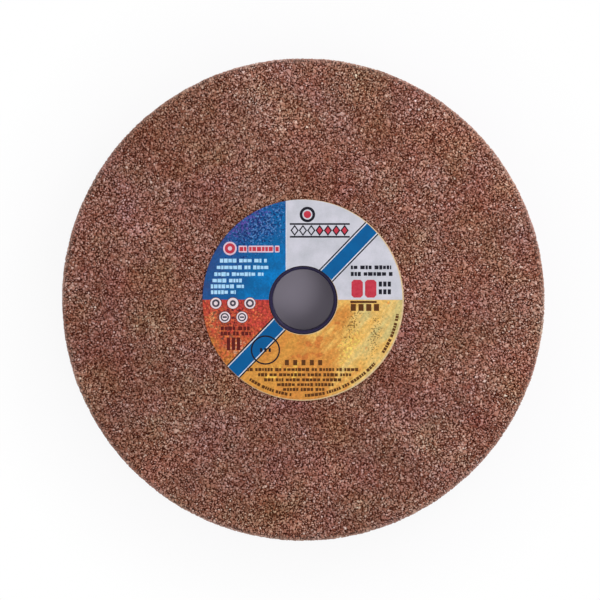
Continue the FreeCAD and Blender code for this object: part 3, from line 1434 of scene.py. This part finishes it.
@dataclass
class PaperLabel:
    """The round label: a thin sheet cut into faces along the edges of its print.

    Its upper side is a net of triangles that follows every printed edge. It is lowered a little
    by smooth waves and at its rim. Its underside is the same net, flat, and walls join the two.
    """

    radius: float
    hole: float
    low: float
    high: float
    print_radius_mm: float = 51.7
    print_shift_mm: Pair = (-0.46, 0.2)  # off the label's centre
    net_mm: float = 1.5  # from point to point, away from printed edges
    net_shift: float = 0.3  # how far a point is moved, as a share of that
    net_margin_mm: float = 0.6  # how far the net's own points stay off the rims
    weld_mm: float = 1e-5  # points nearer to each other than this become one
    rim_sides: int = 360
    hole_sides: int = 160
    print_sides: int = 300
    cockle: float = 0.03 * MM  # how far the paper lies low on average
    cockle_mm: Pair = (4.0, 14.0)  # the shortest and the longest of its waves
    worn_edge: float = 0.06 * MM  # how much lower the outer rim is
    worn_mm: float = 0.7  # how far inwards that reaches
    map_wall_mm: float = 0.5  # how far walls stand out from the rims on the map
    map_past_mm: float = 0.7  # how far the map reaches past the outer rim
    map_under: Pair = (0.07, 0.06)  # the underside's centre and radius there
    seed: int = 31
    layout: LabelPrint = LabelPrint()

    def net(self, marks: list[Mark]) -> tuple[np.ndarray, np.ndarray]:
        """Cuts the sheet into triangles along its rims and along the marks.

        Args:
            marks: everything printed.

        Returns:
            The net's points in millimetres, and its triangles, counter-clockwise from above.
        """
        outer, inner = self.radius / MM, self.hole / MM
        loops = [circle(0, 0, outer, self.rim_sides), circle(0, 0, inner, self.hole_sides)]
        loops += [circle(*self.print_shift_mm, self.print_radius_mm, self.print_sides)]
        loops += [loop for mark in marks for loop in mark.loops]
        edges, count = [], 0
        for loop in loops:
            numbers = np.arange(len(loop)) + count
            edges += list(zip(numbers.tolist(), np.roll(numbers, -1).tolist()))
            count += len(loop)
        rng = np.random.default_rng(self.seed)
        ticks = np.arange(-outer, outer, self.net_mm)
        grid = np.stack(np.meshgrid(ticks, ticks), axis=-1).reshape(-1, 2)
        grid += rng.uniform(-self.net_shift, self.net_shift, grid.shape) * self.net_mm
        reach = np.linalg.norm(grid, axis=1)
        loops.append(grid[(reach < outer - self.net_margin_mm) & (reach > inner + self.net_margin_mm)])
        flat = [Vector(place) for place in np.concatenate(loops).tolist()]
        places, _, triangles, *_ = delaunay_2d_cdt(flat, edges, [], 0, self.weld_mm, False)
        at, faces = np.array([tuple(place) for place in places]), np.array(triangles)
        middle = np.linalg.norm(at[faces].mean(axis=1), axis=1)
        faces = faces[(middle < outer) & (middle > inner)]
        used, numbers = np.unique(faces, return_inverse=True)
        at, faces = at[used], numbers.reshape(-1, 3)
        sides = at[faces[:, 1:]] - at[faces[:, :1]]
        clockwise = np.linalg.det(sides) < 0
        faces[clockwise] = faces[clockwise][:, ::-1]
        return at, faces

    def inks(self, marks: list[Mark], at: np.ndarray, faces: np.ndarray) -> np.ndarray:
        """The ink on each triangle: the last mark that covers its middle, or bare paper.

        Args:
            marks: everything printed.
            at: the net's points.
            faces: its triangles.

        Returns:
            (m,) places in the list of inks.
        """
        order = {ink: number for number, ink in enumerate(Ink)}
        middle = at[faces].mean(axis=1)
        picked = np.zeros(len(faces), int)
        for mark in marks:
            picked[mark.covers(middle)] = order[mark.ink]
        away = np.linalg.norm(middle - self.print_shift_mm, axis=1)
        picked[away > self.print_radius_mm] = order[Ink.PAPER]
        return picked

    def close(self, faces: np.ndarray, count: int) -> np.ndarray:
        """Adds an underside and walls to the upper side's triangles.

        A wall stands on every side that only one triangle has.

        Args:
            faces: the upper side's triangles.
            count: number of the upper side's points, which the underside's follow.

        Returns:
            All triangles: upper side, underside and walls.
        """
        ways = np.concatenate([faces[:, [0, 1]], faces[:, [1, 2]], faces[:, [2, 0]]])
        _, first, uses = np.unique(np.sort(ways, axis=1), axis=0, return_index=True, return_counts=True)
        a, b = ways[first[uses == 1]].T
        walls = [np.column_stack([b, a, a + count]), np.column_stack([b, a + count, b + count])]
        return np.concatenate([faces, faces[:, ::-1] + count, *walls])

    def build(self) -> bpy.types.Object:
        """Makes the sheet and gives each ink its own material.

        A point of the upper side lies below the full thickness by the cockle times one plus a
        third of the waves, and by the wear at the rim times the square of its share of the worn
        width.

        Returns:
            The piece.
        """
        marks = self.layout.marks()
        at, faces = self.net(marks)
        slots = self.inks(marks, at, faces)
        inwards = np.linalg.norm(at, axis=1) - self.radius / MM + self.worn_mm
        worn = np.clip(inwards, 0, self.worn_mm) / self.worn_mm
        cockle = self.cockle * (1 + waves(at, self.seed, self.cockle_mm) / 3)
        lowered = np.maximum(cockle + self.worn_edge * worn**2, 0)
        upper = np.column_stack([at * MM, self.high - lowered])
        under = np.column_stack([at * MM, np.full(len(at), self.low)])
        every = self.close(faces, len(at))
        slots = np.append(slots, np.full(len(every) - len(faces), list(Ink).index(Ink.PAPER)))
        materials = [ink.value.build() for ink in Ink]
        piece = make_piece("printed_label", np.concatenate([upper, under]), every, materials, slots)
        give_map(piece, self.unroll(at, every, len(faces)))
        return piece

    def unroll(self, at: np.ndarray, faces: np.ndarray, count: int) -> np.ndarray:
        """Maps the upper side large, its walls as rims just past it, and the underside small.

        Args:
            at: the net's points in millimetres, which both sides share.
            faces: all triangles, those of the upper side first, then the underside's.
            count: the number of triangles on one side.

        Returns:
            (corners, 2) each face corner's place on the map.
        """
        wall = self.map_wall_mm
        centre, size = self.map_under
        reach = np.linalg.norm(at, axis=1, keepdims=True)
        middle = (self.radius + self.hole) / 2 / MM
        pushed = at * (1 + np.where(reach > middle, wall, -wall) / reach)
        full = self.radius / MM + self.map_past_mm
        large = 0.5 + 0.5 * np.concatenate([at, pushed]) / full
        small = centre + size * np.concatenate([at, at]) / full
        number = np.arange(len(faces))[:, None, None]
        under = (number >= count) & (number < 2 * count)
        return np.where(under, small[faces], large[faces]).reshape(-1, 2)


# The studio


@dataclass(frozen=True)
class FloorFinish:
    """Pale matt floor. The camera sees it turn to plain white away from the wheel."""

    wheel_radius: float
    dark: Colour = (194, 185, 200)
    light: Colour = (204, 195, 209)
    mottle_mm: float = 40.0  # from patch to patch
    bare_share: float = 0.92  # of the wheel's radius, where white starts
    near_white: float = 0.92  # how much of it the camera sees at the rim
    fade: float = 0.06  # how far past the rim the rest takes to come

    def build(self) -> bpy.types.Material:
        """Makes the material: matt paint, mixed with plain white by the distance from the bore.

        Returns:
            The material.
        """
        sheet = NodeSheet(bpy.data.materials.new("studio_floor"))
        rim, rest = self.wheel_radius, 1 - self.near_white
        away = sheet.vector_maths("LENGTH", sheet.add("TexCoord").outputs["Object"])
        past_rim = sheet.span(away, rim * self.bare_share, rim, 0.0, self.near_white)
        further = sheet.span(away, rim, rim + self.fade, 0.0, rest)
        share = sheet.maths("MULTIPLY", sheet.maths("ADD", past_rim, further), sheet.seen())
        mottle = sheet.noise(sheet.place_mm(), self.mottle_mm)
        matt = sheet.add("BsdfDiffuse", {"Color": sheet.mix(mottle, linear(self.dark), linear(self.light))})
        white = sheet.add("Emission", {"Color": (1, 1, 1, 1), "Strength": 1.0})
        both = sheet.add("MixShader", {0: share, 1: matt.outputs[0], 2: white.outputs[0]})
        sheet.add("OutputMaterial", {0: both.outputs[0]})
        return sheet.owner


@dataclass(frozen=True)
class SoftLight:
    """A square soft light that faces the wheel."""

    name: str
    place: tuple[float, float, float]
    size: float  # the length of its side
    power: float  # in watts

    def hang(self) -> None:
        """Adds the light to the scene, turned towards the origin."""
        lamp = bpy.data.lights.new(self.name, "AREA")
        lamp.size, lamp.energy = self.size, self.power
        hung = bpy.data.objects.new(self.name, lamp)
        hung.location = self.place
        hung.rotation_euler = (-Vector(self.place)).to_track_quat("-Z", "Y").to_euler()
        bpy.context.scene.collection.objects.link(hung)


@dataclass
class Studio:
    """Pale floor, soft lights and a camera with a long lens, almost straight above the wheel."""

    distance: float = 0.90  # from the camera to where it aims
    lean: Pair = (0.2, 0.9)  # degrees off straight above, towards +X and towards +Y
    aim_mm: Pair = (-1.62, 0.06)  # on the wheel's front
    scale_px_per_mm: float = 1.935  # of the picture there
    frame_px: float = 600.0  # the picture's width
    sensor_mm: float = 36.0
    clips: Pair = (0.01, 20.0)  # the nearest and the farthest that the camera sees
    floor_half: float = 3.0
    ambient: float = 0.52  # strength of the light from all round
    lights: tuple[SoftLight, ...] = (
        SoftLight("main_light", (0.25, -0.22, 0.58), 0.3, 0.85),
        SoftLight("side_light", (0.46, 0.42, 0.33), 0.35, 3.5),
        SoftLight("fill_light", (-0.95, 0.3, 0.66), 0.5, 1.2),
    )

    def floor(self, wheel_radius: float) -> None:
        """Lays the floor.

        Args:
            wheel_radius: where its white starts.
        """
        corners = self.floor_half * np.array([(-1, -1, 0), (1, -1, 0), (1, 1, 0), (-1, 1, 0)], float)
        floor = make_piece("floor", corners, np.arange(4)[None], [FloorFinish(wheel_radius).build()])

    def world(self) -> None:
        """Gives even light from all round, which the camera sees as plain white."""
        sheet = NodeSheet(bpy.data.worlds.new("studio"))
        bpy.context.scene.world = sheet.owner
        strengths = (self.ambient, 1.0)
        dim, white = (sheet.add("Background", {0: (1, 1, 1, 1), 1: strength}) for strength in strengths)
        both = sheet.add("MixShader", {0: sheet.seen(), 1: dim.outputs[0], 2: white.outputs[0]})
        sheet.add("OutputWorld", {0: both.outputs[0]})

    def camera(self, height: float) -> bpy.types.Object:
        """Hangs the camera above the wheel, leaning a little.

        Its back points along the tangents of the two leaning angles and 1, so the picture's
        upper side stays towards +Y. The lens gives the scale at the distance of the wheel's front.

        Args:
            height: of the wheel's front.

        Returns:
            The camera.
        """
        data = bpy.data.cameras.new("camera")
        data.sensor_width = self.sensor_mm
        data.lens = self.sensor_mm * self.scale_px_per_mm * self.distance / MM / self.frame_px
        data.clip_start, data.clip_end = self.clips
        camera = bpy.data.objects.new("camera", data)
        aim = Vector((self.aim_mm[0] * MM, self.aim_mm[1] * MM, height))
        back = Vector((*(math.tan(math.radians(angle)) for angle in self.lean), 1.0)).normalized()
        right = Vector((0, 1, 0)).cross(back).normalized()
        turn = Matrix((right, back.cross(right), back)).transposed().to_4x4()
        camera.matrix_world = Matrix.Translation(aim + back * self.distance) @ turn
        bpy.context.scene.collection.objects.link(camera)
        return camera

    def build(self, wheel_radius: float, height: float) -> None:
        """Sets up the floor, the world, the lights and the camera.

        Args:
            wheel_radius: of the wheel that lies on the floor.
            height: of its front.
        """
        bpy.context.scene.view_settings.view_transform = "Standard"
        self.floor(wheel_radius)
        self.world()
        for light in self.lights:
            light.hang()
        bpy.context.scene.camera = self.camera(height)


# The wheel


@dataclass
class GrindingWheel:
    """The whole wheel: fired body, its grit, the moulded bush and the paper label."""

    hole_film: float = 0.05 * MM  # glue between the bush and the hole moulded in the wheel
    label_hole_margin: float = 0.1 * MM  # how much larger the label's hole is than that one
    edge: float = 1.2 * MM  # radius of the rim's two rounded edges
    front_split: float = 95 * MM  # radius where the front's two layers of grit meet
    back_split: float = 89 * MM  # the same on the back
    label_overlap: float = 0.1 * MM  # how far the front's grit reaches under the label
    bush_gap: float = 0.4 * MM  # how far the back's grit stays off the hole
    back_pitch: float = 1.16 * MM  # from grain to grain on the back

    def outline(self) -> WheelOutline:
        """The half section of the abrasive solid.

        Returns:
            The outline, with the solid's sizes.
        """
        low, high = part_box("abrasive_wheel")
        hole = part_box("bore_bush")[1].x + self.hole_film
        return WheelOutline(hole, high.x, high.z - low.z, self.edge)

    def grit(self, outline: WheelOutline, label_radius: float) -> list[GritLayer]:
        """The grit of the front, the rim and the back, in layers that share each side.

        Args:
            outline: the wheel's half section.
            label_radius: the front's grit starts just under the label's rim.

        Returns:
            The layers.
        """
        _, front, curve, wall, turned, back = outline.marks
        top_edge, low_edge = (front + curve) / 2, (wall + turned) / 2
        label = label_radius - outline.hole - self.label_overlap
        split = self.front_split - outline.hole
        behind = back - self.back_split + outline.hole
        end, coarse = back - self.bush_gap, self.back_pitch
        return [
            GritLayer(outline, Side.FRONT, "front_grit_inner", label, split, seed=101),
            GritLayer(outline, Side.FRONT, "front_grit_outer", split, top_edge, seed=102),
            GritLayer(outline, Side.RIM, "rim_grit", top_edge, low_edge, seed=103),
            GritLayer(outline, Side.BACK, "back_grit_outer", low_edge, behind, coarse, seed=104),
            GritLayer(outline, Side.BACK, "back_grit_inner", behind, end, coarse, seed=105),
        ]

    def dress_bush(self) -> None:
        """Gives the moulded bush, which keeps its own solid, its plastic."""
        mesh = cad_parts["bore_bush"].data
        mesh.materials.clear()
        mesh.materials.append(BushFinish(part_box("bore_bush")[1].x / MM).build())
        report("bore_bush", mesh)

    def build(self) -> None:
        """Builds and dresses every piece."""
        outline = self.outline()
        low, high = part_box("paper_label")
        attach(AbrasiveBody(outline, high.x).build(BondFinish()), "abrasive", "abrasive_wheel")
        grain = GrainFinish().build()
        for layer in self.grit(outline, high.x):
            attach(layer.build(grain), "abrasive")
        label = PaperLabel(high.x, outline.hole + self.label_hole_margin, low.z, high.z)
        attach(label.build(), "label_paper", "paper_label")
        self.dress_bush()


def report(name: str, mesh: bpy.types.Mesh) -> None:
    """Logs how many points and triangles a piece's mesh has."""
    triangles = sum(len(polygon.vertices) - 2 for polygon in mesh.polygons)
    LOG.info("%s: %d points, %d triangles", name, len(mesh.vertices), triangles)


def attach(piece: bpy.types.Object, slot: str, *nodes: str) -> None:
    """Fixes a piece to the wheel, hides the solids that it stands for and logs its points and triangles.

    Args:
        piece: the mesh object.
        slot: not used.
        *nodes: the solids that it replaces.
    """
    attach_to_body(piece, "root")
    if nodes:
        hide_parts(*nodes)
    report(piece.name, piece.data)


def main() -> None:
    """Builds the wheel and the studio."""
    logging.basicConfig(level=logging.INFO, format="%(message)s")
    GrindingWheel().build()
    _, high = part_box("abrasive_wheel")
    Studio().build(high.x, high.z)


if __name__ == "__main__":
    main()
